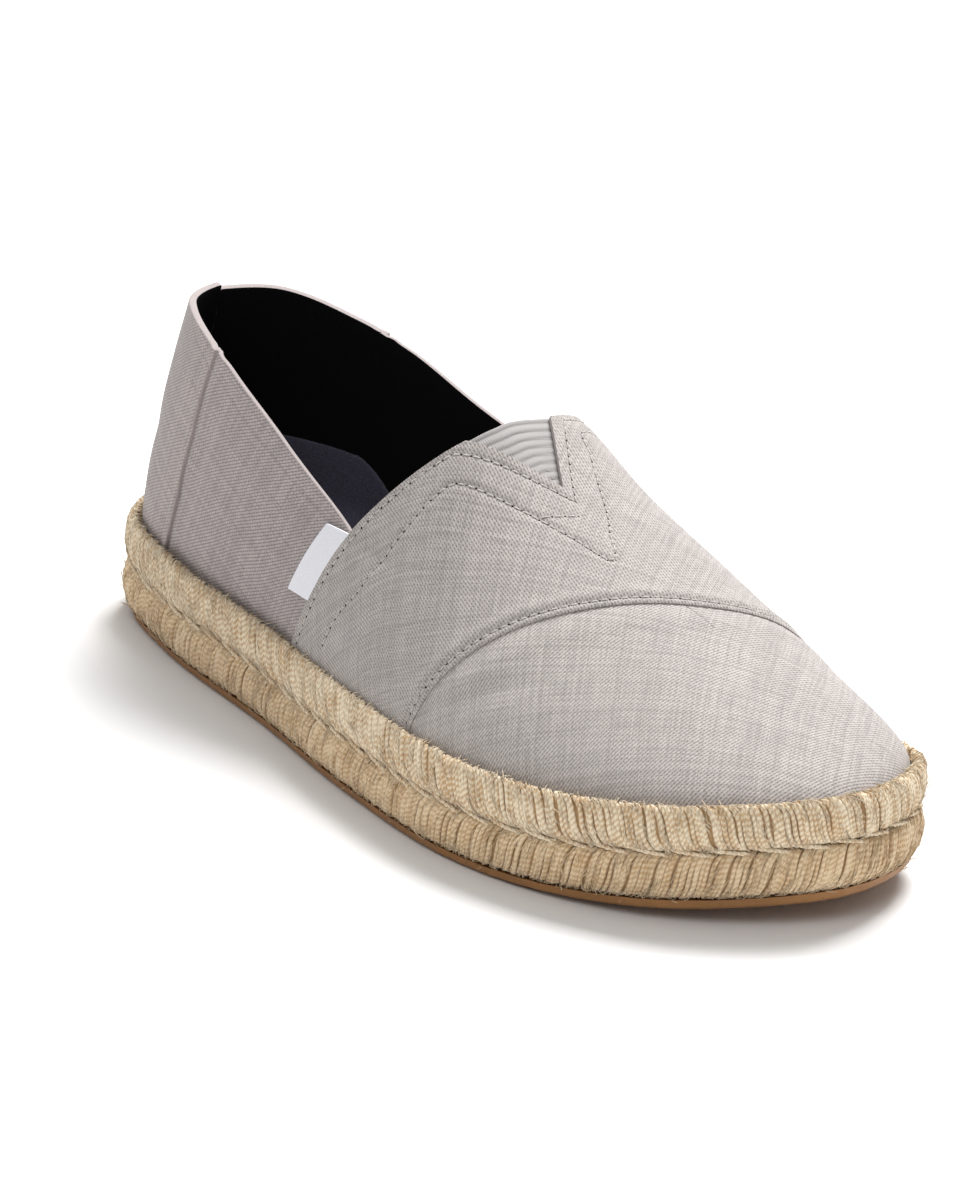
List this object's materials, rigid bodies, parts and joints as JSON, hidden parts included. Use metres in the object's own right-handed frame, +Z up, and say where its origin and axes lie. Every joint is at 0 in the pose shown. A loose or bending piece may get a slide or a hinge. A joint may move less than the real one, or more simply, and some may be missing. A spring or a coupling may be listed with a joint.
{
  "type": "espadrille",
  "caption": "Right-foot slip-on espadrille with a canvas upper, an elastic gore at the throat and a two-tier jute rope sole on thin rubber.",
  "frame": {"origin": "centre of the bounding box's base, on the floor under the middle of the sole", "axes": "+X from heel to toe, +Y to the inner side of the foot, +Z up"},
  "size_m": [0.2906, 0.1126, 0.0945],
  "materials": {
    "gum_rubber": "matt gum rubber",
    "jute_lower": "braided raw jute",
    "jute_upper": "laid raw jute",
    "insole_cloth": "matt woven cloth",
    "quarter_canvas": "matt slubbed canvas, black lining inside",
    "vamp_canvas": "matt slubbed canvas",
    "cap_canvas": "matt slubbed canvas",
    "heel_canvas": "matt slubbed canvas",
    "gore_elastic": "ribbed elastic",
    "label_tape": "smooth woven tape"
  },
  "bodies": {
    "root": {"outsole": "gum_rubber", "lower_rope": "jute_lower", "upper_rope": "jute_upper", "insole": "insole_cloth", "upper": "quarter_canvas", "vamp": "vamp_canvas", "toe_cap": "cap_canvas", "heel_panel": "heel_canvas", "elastic_gore": "gore_elastic", "side_label": "label_tape"}
  },
  "joints": []
}
